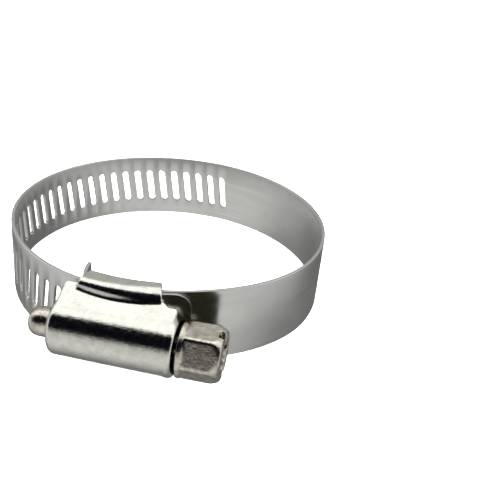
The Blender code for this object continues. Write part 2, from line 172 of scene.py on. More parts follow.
class Nodes:
    """Short way to add and link shader nodes."""

    def __init__(self, name):
        self.material = bpy.data.materials.new(name)
        self.material.use_nodes = True
        self.tree = self.material.node_tree
        self.shader = self.tree.nodes["Principled BSDF"]

    def add(self, kind, **settings):
        node = self.tree.nodes.new(kind)
        for key, value in settings.items():
            if hasattr(node, key):
                setattr(node, key, value)
            else:
                node.inputs[key.replace("_", " ")].default_value = value
        return node

    def link(self, source, target):
        self.tree.links.new(source, target)

    def scaled(self, source, scale):
        node = self.add("ShaderNodeMapping")
        node.inputs["Scale"].default_value = scale
        self.link(source, node.inputs["Vector"])
        return node.outputs["Vector"]

    def noise(self, vector, scale, detail=3.0, roughness=0.55):
        node = self.add("ShaderNodeTexNoise")
        node.inputs["Scale"].default_value = scale
        node.inputs["Detail"].default_value = detail
        node.inputs["Roughness"].default_value = roughness
        self.link(vector, node.inputs["Vector"])
        return node.outputs["Fac"]

    def ramp(self, source, low, high, dark, bright):
        node = self.add("ShaderNodeMapRange")
        node.inputs["From Min"].default_value = low
        node.inputs["From Max"].default_value = high
        node.inputs["To Min"].default_value = dark
        node.inputs["To Max"].default_value = bright
        self.link(source, node.inputs["Value"])
        return node.outputs["Result"]

    def mix(self, factor, first, second):
        """Between two colours."""
        node = self.add("ShaderNodeMix", data_type="RGBA")
        node.inputs["A"].default_value = (*first, 1.0)
        node.inputs["B"].default_value = (*second, 1.0)
        self.link(factor, node.inputs["Factor"])
        return node.outputs["Result"]

    def blend(self, factor, socket, colour):
        """From a socket's colour to a fixed one."""
        node = self.add("ShaderNodeMix", data_type="RGBA")
        node.inputs["B"].default_value = (*colour, 1.0)
        self.link(factor, node.inputs["Factor"])
        self.link(socket, node.inputs["A"])
        return node.outputs["Result"]

    def times(self, first, second):
        node = self.add("ShaderNodeMath", operation="MULTIPLY")
        self.link(first, node.inputs[0])
        self.link(second, node.inputs[1])
        return node.outputs[0]

    def bump(self, height, strength, distance, below=None):
        node = self.add("ShaderNodeBump")
        node.inputs["Strength"].default_value = strength
        node.inputs["Distance"].default_value = distance
        self.link(height, node.inputs["Height"])
        if below is not None:
            self.link(below, node.inputs["Normal"])
        return node.outputs["Normal"]


PIT_COLOUR = (0.16, 0.15, 0.13)
# Near-black painted shade laid over the recesses that each mesh marks
RECESS_SHADE_COLOUR = (0.012, 0.011, 0.012)


def metal(name, light, dark, roughness, grain, blotch, streak=None):
    """Metal whose colour, gloss and relief vary with noise, pitted, and with painted shade darkening
    its recesses.
    """
    n = Nodes(name)
    place = n.add("ShaderNodeTexCoord").outputs["Object"]
    coarse = n.noise(place, blotch["scale"], 4.0)
    fine = n.noise(place, grain["scale"], 3.0, 0.7)
    clean = n.mix(n.ramp(coarse, 0.35, 0.68, 0.0, 1.0), light, dark)
    speck = n.ramp(n.noise(place, 5200.0, 2.0, 0.8), 0.60, 0.70, 0.0, 0.6)
    patch = n.ramp(n.noise(place, 260.0, 3.0), 0.45, 0.62, 0.0, 1.0)
    pitted = n.blend(n.times(speck, patch), clean, PIT_COLOUR)
    # Painted shade: the colour goes near-black where the mesh marks a recess
    recess = n.add("ShaderNodeAttribute", attribute_name="recess").outputs["Fac"]
    n.link(n.blend(recess, pitted, RECESS_SHADE_COLOUR), n.shader.inputs["Base Color"])
    n.link(n.ramp(fine, 0.3, 0.7, *roughness), n.shader.inputs["Roughness"])
    n.shader.inputs["Metallic"].default_value = 1.0
    relief = n.bump(coarse, blotch["strength"], blotch["depth"])
    if streak is not None:
        drawn = n.noise(n.scaled(place, streak["stretch"]), 1.0, 2.0)
        relief = n.bump(drawn, streak["strength"], streak["depth"], relief)
    n.link(n.bump(fine, grain["strength"], grain["depth"], relief), n.shader.inputs["Normal"])
    return n.material


def band_metal():
    """Rolled strip: fine lines along its length, faint stains and cross scratches."""
    n = Nodes("band_stainless")
    place = n.add("ShaderNodeUVMap", uv_map="strip").outputs["UV"]
    lines = n.noise(n.scaled(place, (60.0, 9000.0, 1.0)), 1.0, 3.0, 0.7)
    wide_lines = n.noise(n.scaled(place, (25.0, 1500.0, 1.0)), 1.0, 2.0)
    stain = n.noise(n.scaled(place, (110.0, 160.0, 1.0)), 1.0, 5.0)
    scratch = n.noise(n.scaled(place, (2600.0, 260.0, 1.0)), 1.0, 1.0)
    colour = n.mix(n.ramp(stain, 0.35, 0.7, 0.0, 1.0), (0.80, 0.80, 0.785), (0.70, 0.705, 0.70))
    n.link(colour, n.shader.inputs["Base Color"])
    n.shader.inputs["Metallic"].default_value = 1.0
    n.link(n.ramp(wide_lines, 0.3, 0.7, 0.27, 0.40), n.shader.inputs["Roughness"])
    first = n.bump(lines, 0.35, 0.004 * MM)
    second = n.bump(scratch, 0.10, 0.006 * MM, first)
    n.link(second, n.shader.inputs["Normal"])
    return n.material


def housing_metal():
    return metal("housing_bright", (0.84, 0.84, 0.79), (0.72, 0.72, 0.67), (0.07, 0.22),
                 {"scale": 2300.0, "strength": 1.0, "depth": 0.022 * MM},
                 {"scale": 700.0, "strength": 0.35, "depth": 0.05 * MM},
                 {"stretch": (900.0, 5200.0, 5200.0), "strength": 0.5, "depth": 0.02 * MM})


def screw_metal():
    return metal("screw_plated", (0.78, 0.75, 0.68), (0.52, 0.46, 0.40), (0.10, 0.27),
                 {"scale": 2600.0, "strength": 1.0, "depth": 0.034 * MM},
                 {"scale": 1100.0, "strength": 0.5, "depth": 0.06 * MM})


# Near-black metal of the worm ridge: painted shade of the barrel's dark inside
def shaded_ridge_metal():
    return metal("screw_oiled", (0.09, 0.085, 0.08), (0.05, 0.05, 0.05), (0.25, 0.45),
                 {"scale": 3600.0, "strength": 0.5, "depth": 0.02 * MM},
                 {"scale": 1100.0, "strength": 0.4, "depth": 0.05 * MM})


def floor_material():
    n = Nodes("floor_pale")
    place = n.add("ShaderNodeTexCoord").outputs["Object"]
    tone = n.noise(place, 9.0, 2.0)
    colour = n.mix(tone, (0.93, 0.93, 0.93), (0.90, 0.90, 0.90))
    n.link(colour, n.shader.inputs["Base Color"])
    n.shader.inputs["Roughness"].default_value = 0.75
    return n.material


# ---------------------------------------------------------------- meshes

def add_object(name, vertices, faces, material, smooth_deg=35.0):
    mesh = bpy.data.meshes.new(name)
    mesh.from_pydata([tuple(v) for v in vertices], [], [tuple(f) for f in faces])
    mesh.validate()
    mesh.materials.append(material)
    mesh.shade_smooth()
    if smooth_deg is not None:
        mesh.set_sharp_from_angle(angle=math.radians(smooth_deg))
    item = bpy.data.objects.new(name, mesh)
    bpy.context.scene.collection.objects.link(item)
    return item


def smooth(value):
    value = np.clip(value, 0.0, 1.0)
    return value * value * (3.0 - 2.0 * value)


def edge_crossings(field, shape, axis):
    """Where each cell's four edges along an axis cross zero: offsets, shares and hits."""
    others = [a for a in range(3) if a != axis]
    for shift in ((0, 0), (0, 1), (1, 0), (1, 1)):
        first = [slice(0, n) for n in shape]
        for other, s in zip(others, shift):
            first[other] = slice(s, shape[other] + s)
        second = list(first)
        second[axis] = slice(1, shape[axis] + 1)
        near, far = field[tuple(first)], field[tuple(second)]
        cross = (near < 0.0) != (far < 0.0)
        share = np.where(cross, near / np.where(cross, near - far, 1.0), 0.0)
        yield list(zip(others, shift)), share, cross


def crossed_quads(inside, index, axis):
    """One quad round every grid edge along an axis that passes through the surface."""
    a, b = [(1, 2), (2, 0), (0, 1)][axis]
    span = [slice(1, n) for n in index.shape]
    span[axis] = slice(0, index.shape[axis])
    ahead = list(span)
    ahead[axis] = slice(1, index.shape[axis] + 1)
    cross = inside[tuple(span)] != inside[tuple(ahead)]
    place = np.argwhere(cross) + np.array([s.start for s in span])
    leaving = inside[tuple(place.T)]
    cells = []
    for da, db in ((1, 1), (0, 1), (0, 0), (1, 0)):
        cell = place.copy()
        cell[:, a] -= da
        cell[:, b] -= db
        cells.append(index[tuple(cell.T)])
    ring = np.stack(cells, axis=1)
    ring[~leaving] = ring[~leaving][:, ::-1]
    return ring


def surface_net(field, low, step):
    """Points and quads round the zero level of a sampled signed distance."""
    shape = tuple(n - 1 for n in field.shape)
    total = np.zeros(shape + (3,))
    hits = np.zeros(shape)
    for axis in range(3):
        for shifts, share, cross in edge_crossings(field, shape, axis):
            hits += cross
            total[..., axis] += share
            for other, s in shifts:
                total[..., other] += s * cross
    used = hits > 0
    index = np.full(shape, -1)
    index[used] = np.arange(used.sum())
    points = low + step * (np.argwhere(used) + total[used] / hits[used][:, None])
    quads = [crossed_quads(field < 0.0, index, axis) for axis in range(3)]
    return points, np.concatenate(quads)


def slope_of(distance, points, reach):
    slope = np.zeros_like(points)
    for axis in range(3):
        ahead, behind = points.copy(), points.copy()
        ahead[:, axis] += reach
        behind[:, axis] -= reach
        slope[:, axis] = (distance(*ahead.T) - distance(*behind.T)) / (2.0 * reach)
    return slope


def implicit_object(name, distance, low, high, step, material):
    """A closed mesh on the zero level of a distance function, pulled close to it."""
    low, high = np.array(low), np.array(high)
    counts = np.ceil((high - low) / step).astype(int) + 1
    axes = [low[i] + step * np.arange(counts[i]) for i in range(3)]
    field = distance(*np.meshgrid(*axes, indexing="ij"))
    points, quads = surface_net(field, low, step)
    for _ in range(3):
        value = distance(*points.T)
        slope = slope_of(distance, points, 0.2 * step)
        size = np.maximum((slope ** 2).sum(axis=1), 0.25)
        move = -(value / size)[:, None] * slope
        points += np.clip(move, -0.35 * step, 0.35 * step)
    return add_object(name, points, quads, material, None)


def lathe_object(name, profile, material, steps=96):
    """Closed solid turned about the screw's axis from (x, radius) pairs."""
    verts, faces, rings = [], [], []
    for x, radius in profile:
        if radius <= 0.0:
            rings.append([len(verts)])
            verts.append((x, AXIS_Y, 0.0))
            continue
        rings.append(list(range(len(verts), len(verts) + steps)))
        for k in range(steps):
            turn = 2.0 * math.pi * k / steps
            verts.append((x, AXIS_Y + radius * math.cos(turn), radius * math.sin(turn)))
    for first, second in zip(rings[:-1], rings[1:]):
        for k in range(steps):
            n = (k + 1) % steps
            if len(first) == 1:
                faces.append((first[0], second[n], second[k]))
            elif len(second) == 1:
                faces.append((first[k], first[n], second[0]))
            else:
                faces.append((first[k], first[n], second[n], second[k]))
    return add_object(name, verts, faces, material, 40.0)


def rounded_profile(corners, radius, steps=5):
    """(x, radius) corners with each inner corner replaced by a short curve."""
    points = [corners[0]]
    for before, here, after in zip(corners, corners[1:], corners[2:]):
        b, h, a = (np.array(p) for p in (before, here, after))
        reach = min(radius, 0.45 * np.linalg.norm(b - h), 0.45 * np.linalg.norm(a - h))
        start = h + reach * (b - h) / np.linalg.norm(b - h)
        stop = h + reach * (a - h) / np.linalg.norm(a - h)
        for k in range(steps + 1):
            t = k / steps
            points.append(tuple((1 - t) ** 2 * start + 2 * t * (1 - t) * h + t * t * stop))
    points.append(corners[-1])
    return points


# ---------------------------------------------------------------- distance functions

def soft_min(a, b, k):
    h = np.clip(0.5 + 0.5 * (b - a) / k, 0.0, 1.0)
    return b + (a - b) * h - k * h * (1.0 - h)


def soft_max(a, b, k):
    return -soft_min(-a, -b, k)


def round_box_2d(u, v, half_u, half_v, radius):
    qu = np.abs(u) - half_u + radius
    qv = np.abs(v) - half_v + radius
    outside = np.hypot(np.maximum(qu, 0.0), np.maximum(qv, 0.0))
    return np.minimum(np.maximum(qu, qv), 0.0) + outside - radius


# ---------------------------------------------------------------- band

def right_radius(psi):
    share = smooth((psi - RIGHT_RISE_DEG[0]) / (RIGHT_RISE_DEG[1] - RIGHT_RISE_DEG[0]))
    return FIXED_RADIUS + share * (RING_RADIUS - FIXED_RADIUS)


def left_radius(psi):
    share = smooth((-psi - LEFT_RISE_DEG[0]) / (LEFT_RISE_DEG[1] - LEFT_RISE_DEG[0]))
    return TAIL_RADIUS + share * (RING_RADIUS - TAIL_RADIUS)


def ring_point(psi, radius):
    angle = math.radians(psi)
    return np.array([radius * math.sin(angle), -radius * math.cos(angle)])


class Strip:
    """The bent mid-thickness line of a run of band; u is length along it."""

    def __init__(self, points):
        self.points = np.asarray(points)
        steps = np.linalg.norm(np.diff(self.points, axis=0), axis=1)
        self.u = np.concatenate([[0.0], np.cumsum(steps)])
        tangent = np.gradient(self.points, axis=0)
        tangent /= np.linalg.norm(tangent, axis=1)[:, None]
        self.normal = np.stack([tangent[:, 1], -tangent[:, 0]], axis=1)

    def at(self, u, offset):
        x = np.interp(u, self.u, self.points[:, 0]) + offset * np.interp(u, self.u, self.normal[:, 0])
        y = np.interp(u, self.u, self.points[:, 1]) + offset * np.interp(u, self.u, self.normal[:, 1])
        return x, y

    def u_at(self, psi):
        """Length at which the line passes an angle round the ring."""
        angles = np.degrees(np.unwrap(np.arctan2(self.points[:, 0], -self.points[:, 1])))
        if angles[-1] < -185.0:
            angles = angles + 360.0
        return float(np.interp(psi, angles, self.u))


def fixed_strip():
    """From the fin's tip through the housing and up the right side to the seam."""
    heading = math.radians(FIN_START_DEG) + math.pi
    place = ring_point(FIN_START_DEG, FIXED_RADIUS)
    points = []
    steps = 14
    turn = math.radians(FIN_BEND_DEG) / steps
    for _ in range(steps):
        heading -= 0.5 * turn
        place = place + FIN_BEND_RADIUS * turn * np.array([math.cos(heading), math.sin(heading)])
        heading -= 0.5 * turn
        points.append(place)
    curl_steps = 6
    for _ in range(curl_steps):
        heading -= math.radians(FIN_CURL_DEG) / curl_steps
        place = place + FIN_LENGTH / curl_steps * np.array([math.cos(heading), math.sin(heading)])
        points.append(place)
    arc = np.arange(FIN_START_DEG, 180.0 + 0.5 * ARC_STEP_DEG, ARC_STEP_DEG)
    arc[-1] = 180.0
    return Strip(points[::-1] + [ring_point(a, right_radius(a)) for a in arc])


def slotted_strip():
    """From the seam at the back round the left side and out of the housing to the tail's tip."""
    arc = np.arange(-180.0, TAIL_END_DEG + 0.5 * ARC_STEP_DEG, ARC_STEP_DEG)
    arc[-1] = TAIL_END_DEG
    return Strip([ring_point(a, left_radius(a)) for a in arc])


def slot_loop(centre, grow, steps=9):
    half = 0.5 * (SLOT_LENGTH - SLOT_WIDTH)
    radius = 0.5 * SLOT_WIDTH + grow
    loop = []
    for side in (1.0, -1.0):
        for step in range(steps + 1):
            turn = math.pi * step / steps
            dz = side * (half + math.sin(turn) * radius)
            loop.append((centre + side * math.cos(turn) * radius + SLOT_LEAN * dz, dz))
    return loop


def outline_loop(start, stop, corner):
    half = BAND_HALF_WIDTH - BAND_EDGE_RADIUS
    if corner <= 0.0:
        return [(start, -half), (stop, -half), (stop, half), (start, half)]
    stop -= BAND_EDGE_RADIUS
    loop = [(start, -half)]
    for side in (-1.0, 1.0):
        for step in range(13):
            turn = 0.5 * math.pi * step / 12
            if side > 0.0:
                turn = 0.5 * math.pi - turn
            loop.append((stop - corner + corner * math.sin(turn),
                         side * (half - corner + corner * math.cos(turn))))
    return loop + [(start, half)]


def inside(loop, point):
    hit = False
    for (ua, za), (ub, zb) in zip(loop, loop[1:] + loop[:1]):
        if (za > point[1]) != (zb > point[1]):
            if point[0] < ua + (point[1] - za) * (ub - ua) / (zb - za):
                hit = not hit
    return hit


def flat_mesh(outline, holes, bends):
    """Triangles of the strip laid flat, with a crease line at every bend."""
    points, edges = [], []
    for loop in [outline] + holes:
        first = len(points)
        points += loop
        edges += [(first + k, first + (k + 1) % len(loop)) for k in range(len(loop))]
    half = BAND_HALF_WIDTH
    for u in bends:
        edges.append((len(points), len(points) + 1))
        points += [(u, -half), (u, half)]
    result = delaunay_2d_cdt(points, edges, [], 0, 1e-9)
    verts = np.array([tuple(v) for v in result[0]])
    kept = []
    for face in result[2]:
        middle = verts[list(face)].mean(axis=0)
        near = [h for h in holes if abs(h[0][0] - middle[0]) < 2.5 * SLOT_WIDTH]
        if inside(outline, middle) and not any(inside(h, middle) for h in near):
            a, b, c = verts[list(face)]
            area = (b[0] - a[0]) * (c[1] - a[1]) - (b[1] - a[1]) * (c[0] - a[0])
            kept.append(tuple(face) if area > 0.0 else tuple(face)[::-1])
    used = sorted({i for face in kept for i in face})
    index = {old: new for new, old in enumerate(used)}
    return verts[used], [tuple(index[i] for i in f) for f in kept]


def border_offsets(flat, faces, start, stop, open_stop):
    """Edges on the sheared border, and each border point's direction out of the metal."""
    count = {}
    for face in faces:
        for a, b in zip(face, face[1:] + face[:1]):
            if (b, a) in count:
                del count[(b, a)]
            else:
                count[(a, b)] = True
    edges = []
    outward = np.zeros_like(flat)
    for a, b in count:
        cuts = [start, stop] if open_stop else [start]
        if any(abs(flat[a][0] - c) < TINY and abs(flat[b][0] - c) < TINY for c in cuts):
            continue
        edges.append((a, b))
        run = flat[b] - flat[a]
        side = np.array([run[1], -run[0]]) / max(np.linalg.norm(run), 1e-12)
        outward[a] += side
        outward[b] += side
    size = np.linalg.norm(outward, axis=1)
    size[size == 0.0] = 1.0
    return edges, outward / size[:, None]


def tail_lift(u, strip, kink):
    """How far the strip's last stretch is bent up."""
    return kink * smooth((u - strip.u[-1] + TAIL_KINK_LENGTH) / TAIL_KINK_LENGTH)


def rim_layers(steps=3):
    """(growth outwards, height) of the rows of points that round a sheared edge."""
    upper = []
    for k in range(steps + 1):
        turn = 0.5 * math.pi * k / steps
        upper.append((BAND_EDGE_RADIUS * math.sin(turn),
                      BAND_HALF_THICKNESS - BAND_EDGE_RADIUS * (1.0 - math.cos(turn))))
    return upper + [(out, -height) for out, height in upper[::-1]]


def band_faces(faces, edges, count):
    """Both sides of the strip and the rounded rim between them."""
    border = sorted({i for e in edges for i in e})
    rank = {v: k for k, v in enumerate(border)}
    rows = [lambda i: i]
    for row in range(len(rim_layers()) - 2):
        rows.append(lambda i, base=2 * count + row * len(border): base + rank[i])
    rows.append(lambda i: count + i)
    solid = list(faces) + [tuple(count + i for i in f[::-1]) for f in faces]
    for upper, lower in zip(rows[:-1], rows[1:]):
        solid += [(upper(b), upper(a), lower(a), lower(b)) for a, b in edges]
    return solid, border


def band_piece(name, strip, start, stop, slots, material, corner=0.0, kink=0.0):
    """One run of band between two lengths along its strip, with rounded sheared edges."""
    holes = [slot_loop(u, BAND_EDGE_RADIUS) for u in slots if start < u < stop]
    bends = np.linspace(start, stop, max(3, int(round((stop - start) / BEND_STEP))) + 1)[1:-1]
    flat, faces = flat_mesh(outline_loop(start, stop, corner), holes, bends)
    edges, outward = border_offsets(flat, faces, start, stop, corner <= 0.0)
    solid, border = band_faces(faces, edges, len(flat))
    rows = [(flat, BAND_HALF_THICKNESS), (flat, -BAND_HALF_THICKNESS)]
    for out, height in rim_layers()[1:-1]:
        rows.append((flat[border] + out * outward[border], height))
    verts = []
    for points, height in rows:
        x, y = strip.at(points[:, 0], height + tail_lift(points[:, 0], strip, kink))
        verts.append(np.stack([x, y, points[:, 1]], axis=1))
    verts = np.concatenate(verts)
    uvs = np.concatenate([points for points, _ in rows])
    for cut in ([start, stop] if corner <= 0.0 else [start]):
        rim = np.flatnonzero(np.abs(uvs[:, 0] - cut) < TINY)
        solid.append(tuple(cap_order(strip, verts, rim, cut, cut == start)))
    item = add_object(name, verts, solid, material, 50.0)
    add_strip_map(item, uvs)
    return item


def add_strip_map(item, uvs):
    """Lengths along and across the strip, which its grain follows."""
    layer = item.data.uv_layers.new(name="strip")
    loops = np.empty(len(item.data.loops), dtype=int)
    item.data.loops.foreach_get("vertex_index", loops)
    layer.data.foreach_set("uv", uvs[loops].ravel())


def cap_order(strip, verts, rim, cut, first):
    """The points of a square-cut end in order round it."""
    x, y = strip.at(cut, 0.0)
    nx, ny = strip.at(cut, 1.0)
    depth = (verts[rim, 0] - x) * (nx - x) + (verts[rim, 1] - y) * (ny - y)
    angle = np.arctan2(depth / BAND_HALF_THICKNESS, verts[rim, 2] / BAND_HALF_WIDTH)
    order = rim[np.argsort(angle)]
    return order[::-1] if first else order


def blend_piece(item, strip, start, stop):
    """Bakes the piece's transform into its mesh."""
    a, b = strip.at(start, 0.0), strip.at(stop, 0.0)
    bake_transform(item)


def build_right_band(material):
    """Plain side: one piece across each hinge, each from mid-link to mid-link."""
    strip = fixed_strip()
    hinges = [JOINTS[f"flex_right_{k + 1}"]["pos_m"] for k in range(RIGHT_LINKS)]
    marks = [strip.u_at(math.degrees(math.atan2(h[0], -h[1]))) for h in hinges]
    end = strip.u[-1]
    middles = [0.5 * (a + b) for a, b in zip(marks, marks[1:] + [end])]
    slots = [end - 0.5 * SLOT_PITCH, end - 1.5 * SLOT_PITCH]
    cuts = middles[:-1] + [end - 2.0 * SLOT_PITCH]
    starts = [0.0] + cuts
    stops = cuts + [end]
    for k in range(RIGHT_LINKS + 1):
        piece = band_piece(f"band_right_{k}", strip, starts[k], stops[k], slots, material)
        body = f"band_link_right_{k}"
        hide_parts(body if k else "band_fixed_end")
        if k < RIGHT_LINKS:
            reach = marks[k] - middles[k - 1] if k else FIRST_BLEND_REACH
            reach = min(reach, stops[k] - marks[k], LONGEST_BLEND_REACH)
            blend_piece(piece, strip,
                        marks[k] - reach, marks[k] + reach)
        else:
            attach(piece, body)


def build_left_band(material):
    """Slotted side: pieces part in the solid bridges between slots."""
    strip = slotted_strip()
    link = SLOTS_PER_LINK * SLOT_PITCH
    marks = [(LEFT_LINKS - k) * link for k in range(LEFT_LINKS)]
    slots = [(j + 0.5) * SLOT_PITCH for j in range(LEFT_LINKS * SLOTS_PER_LINK + SLOTS_IN_TAIL)]
    end = strip.u[-1]
    near = 2.0 * SLOT_PITCH
    tail = band_piece("band_tail_run", strip, marks[0] - SLOT_PITCH, end, slots, material,
                      TAIL_CORNER_RADIUS, TAIL_KINK)
    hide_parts("band_tail")
    blend_piece(tail, strip,
                marks[0] + SLOT_PITCH, marks[0] - SLOT_PITCH)
    for k in range(1, LEFT_LINKS):
        start, stop = marks[k] - SLOT_PITCH, marks[k] + near
        piece = band_piece(f"band_left_{k}", strip, start, stop, slots, material)
        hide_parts(f"band_link_left_{k}")
        blend_piece(piece, strip,
                    marks[k] + near, marks[k] - SLOT_PITCH)
    last = band_piece(f"band_left_{LEFT_LINKS}", strip, 0.0, near, slots, material)
    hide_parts(f"band_link_left_{LEFT_LINKS}")
    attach(last, f"band_link_left_{LEFT_LINKS}")


# ---------------------------------------------------------------- housing

def barrel_share(x):
    return np.clip((x - BARREL_START) / (BARREL_STOP - BARREL_START), 0.0, 1.0)


def barrel_radius(x):
    """The barrel widens towards the head and ends in a slightly raised lip."""
    lip = smooth((x - BARREL_STOP + LIP_LENGTH) / LIP_RISE)
    widening = BARREL_RADIUS_HEAD - BARREL_RADIUS_REAR
    return BARREL_RADIUS_REAR + barrel_share(x) * widening + LIP_HEIGHT * lip


def barrel_distance(x, n, z):
    middle = 0.5 * (BARREL_START + BARREL_STOP)
    half = 0.5 * (BARREL_STOP - BARREL_START)
    return round_box_2d(np.hypot(n + AXIS_Y, z), x - middle, barrel_radius(x), half, BARREL_EDGE)


def skirt_distance(x, n, z):
    """The flanks that leave the barrel at a tangent and rise to the wrap."""
    lean_change = FLANK_LEAN_HEAD_DEG - FLANK_LEAN_REAR_DEG
    lean = np.radians(FLANK_LEAN_REAR_DEG + lean_change * barrel_share(x))
    flank = np.abs(z) * np.cos(lean) + (n + AXIS_Y) * np.sin(lean) - barrel_radius(x)
    drop = FLANK_DROP * smooth((x - FLANK_DROP_START) / FLANK_DROP_LENGTH)
    top_edge = PASSAGE_OUTER - FLANK_OVERLAP + drop
    level = np.maximum(n + AXIS_Y - FLANK_PAST_AXIS, top_edge - n)
    middle = 0.5 * (SKIRT_START + SKIRT_STOP)
    half = 0.5 * (SKIRT_STOP - SKIRT_START)
    return soft_max(soft_max(flank, level, 0.3 * MM), np.abs(x - middle) - half, SKIRT_EDGE)


def wrap_distance(x, n, z):
    """The part folded round both edges of the band."""
    psi, ring = np.arctan2(x, n), np.hypot(x, n)
    low, high = (math.radians(a) for a in WRAP_DEG)
    mean = 0.5 * (WRAP_INNER + WRAP_OUTER)
    half = 0.5 * (WRAP_OUTER - WRAP_INNER)
    along = (psi - 0.5 * (low + high)) * mean
    corner = np.where(ring > mean, WRAP_CORNER_OUTER, WRAP_CORNER_INNER)
    plan = round_box_2d(ring - mean, along, half, 0.5 * (high - low) * mean, corner)
    share = smooth((psi - low) / (high - low))
    shoulder = WRAP_SHOULDER[0] + share * (WRAP_SHOULDER[1] - WRAP_SHOULDER[0])
    fold = np.where(ring > mean, shoulder, WRAP_FOLD)
    section = round_box_2d(ring - mean, z, half, WRAP_HALF_WIDTH, fold)
    return soft_max(plan, section, 0.25 * MM)


def housing_outer(x, y, z):
    """Distance to the housing's outer skin: barrel, flanks and the wrap round the band."""
    body = soft_min(barrel_distance(x, -y, z), skirt_distance(x, -y, z), 0.2 * MM)
    return soft_min(body, wrap_distance(x, -y, z), WRAP_JOIN)


def passage_distance(x, n, z):
    """The band's way through the wrap, and the open air over the band past its ends."""
    ring = np.hypot(x, n)
    passage = round_box_2d(ring - 0.5 * (PASSAGE_INNER + PASSAGE_OUTER), z,
                           0.5 * (PASSAGE_OUTER - PASSAGE_INNER), PASSAGE_HALF_WIDTH, 0.3 * MM)
    low, high = (math.radians(a) for a in WRAP_DEG)
    psi = np.arctan2(x, n)
    beyond = np.minimum(psi - low, high - psi) * WRAP_OUTER
    return passage, np.maximum(ring - PASSAGE_OUTER, beyond)


def housing_distance(x, y, z):
    """The stamped sheet: outer skin less the hollow inside it, the passage and the holes."""
    n = -y
    outer = housing_outer(x, y, z)
    hollow = outer + np.where(n > -AXIS_Y - 2.0 * MM, BARREL_SHEET, SHEET)
    shell = soft_max(outer, -hollow, CUT_EDGE)
    for opening in passage_distance(x, n, z):
        shell = soft_max(shell, -opening, CUT_EDGE)
    r = np.hypot(n + AXIS_Y, z)
    rear_hole = np.maximum(r - REAR_HOLE_RADIUS, x + HOLE_REACH)
    head_hole = np.maximum(r - HEAD_HOLE_RADIUS, HOLE_REACH - x)
    return soft_max(soft_max(shell, -rear_hole, 0.15 * MM), -head_hole, 0.15 * MM)


def recess_shade_layer(item, depth):
    """How far each point lies in a recess, where the material paints shade."""
    layer = item.data.attributes.new("recess", "FLOAT", "POINT")
    layer.data.foreach_set("value", np.clip(depth, 0.0, 1.0).astype(np.float32))


def mesh_points(item):
    points = np.empty(3 * len(item.data.vertices))
    item.data.vertices.foreach_get("co", points)
    return points.reshape(-1, 3)


def build_housing(material):
    margin = 0.4 * MM
    low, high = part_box("housing")
    low = [c - margin for c in low]
    high = [c + margin for c in high]
    step = 0.14 * MM
    item = implicit_object("housing_shell", housing_distance, low, high, step, material)
    x, y, z = mesh_points(item).T
    # Painted shade: the sheet's inner faces and the inside of the barrel's head end are darkened
    # through the recess mask
    interior_shade = -housing_outer(x, y, z) / (0.35 * MM)
    groove_shade = (x - BARREL_STOP + 0.25 * MM) / (0.2 * MM)
    groove_shade *= np.hypot(y - AXIS_Y, z) < BARREL_RADIUS_HEAD - 0.75 * MM
    recess_shade_layer(item, np.maximum(interior_shade, groove_shade))
    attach(item, "housing")
    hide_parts("housing")


# ---------------------------------------------------------------- screw

def hex_distance(x, across, up):
    """Hexagonal prism with worn edges and a chamfer round its end."""
    flats = []
    for k in range(3):
        a = math.radians(HEX_TURN_DEG + 60.0 * k)
        flats.append(np.abs(-across * math.sin(a) + up * math.cos(a)) - HEX_HALF_FLATS)
    prism = soft_max(soft_max(flats[0], flats[1], HEX_EDGE), flats[2], HEX_EDGE)
    chamfer = math.radians(CHAMFER_DEG)
    edge = HEX_END - 0.3 * MM
    r = np.hypot(across, up)
    cone = (r - HEX_HALF_FLATS) * math.cos(chamfer) + (x - edge) * math.sin(chamfer)
    body = soft_max(soft_max(prism, cone, 0.25 * MM), x - HEX_END, 0.35 * MM)
    return np.maximum(body, HEX_START - 0.25 * MM - x)


def drive_cuts(x, across, up):
    """(distance, edge radius) of the full slot, the shorter cross slot and the pit."""
    turn = math.radians(HEX_TURN_DEG)
    u = across * math.cos(turn) + up * math.sin(turn)
    v = -across * math.sin(turn) + up * math.cos(turn)
    slot = soft_max(np.abs(u) - 0.5 * DRIVE_SLOT_WIDTH, HEX_END - DRIVE_SLOT_DEPTH - x, 0.35 * MM)
    plan = round_box_2d(u, v, 0.5 * CROSS_SLOT_LENGTH, 0.5 * CROSS_SLOT_WIDTH, 0.15 * MM)
    cross = soft_max(plan, HEX_END - CROSS_SLOT_DEPTH - x, 0.2 * MM)
    pit = (np.hypot(across, up) - PIT_RADIUS) * 0.8 + (HEX_END - PIT_DEPTH - x) * 0.6
    return (slot, 0.12 * MM), (cross, 0.1 * MM), (pit, 0.15 * MM)


def collar_distance(x, across, up):
    """The flange under the head, coned on its front."""
    r = np.hypot(across, up)
    cone = (r - COLLAR_RADIUS) * 0.75 + (x - COLLAR_START - 0.62 * MM) * 0.66
    collar = soft_max(soft_max(r - COLLAR_RADIUS, COLLAR_START - x, 0.3 * MM), cone, 0.25 * MM)
    return np.maximum(collar, x - HEX_START - 0.5 * MM)


def head_distance(x, y, z):
    """Cold-formed hex head with its drive slots, on its collar."""
    body = hex_distance(x, y - AXIS_Y, z)
    for opening, edge in drive_cuts(x, y - AXIS_Y, z):
        body = soft_max(body, -opening, edge)
    return soft_min(body, collar_distance(x, y - AXIS_Y, z), 0.22 * MM)


def build_head(material):
    margin, half = 0.3 * MM, 5.0 * MM
    low = (COLLAR_START - margin, AXIS_Y - half, -half)
    high = (HEX_END + margin, AXIS_Y + half, half)
    step = 0.1 * MM
    item = implicit_object("screw_head", head_distance, low, high, step, material)
    x, y, z = mesh_points(item).T
    # Painted shade: the collar's back face and the deep parts of the drive slots and pit are darkened
    # through the recess mask
    rear = (COLLAR_START + 0.22 * MM - x) / (0.15 * MM)
    slots = (HEX_END - 0.55 * MM - x) / (0.3 * MM) * (np.hypot(y - AXIS_Y, z) < 3.3 * MM)
    recess_shade_layer(item, np.maximum(rear, slots))
    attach(item, "worm_screw")
    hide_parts("worm_screw")


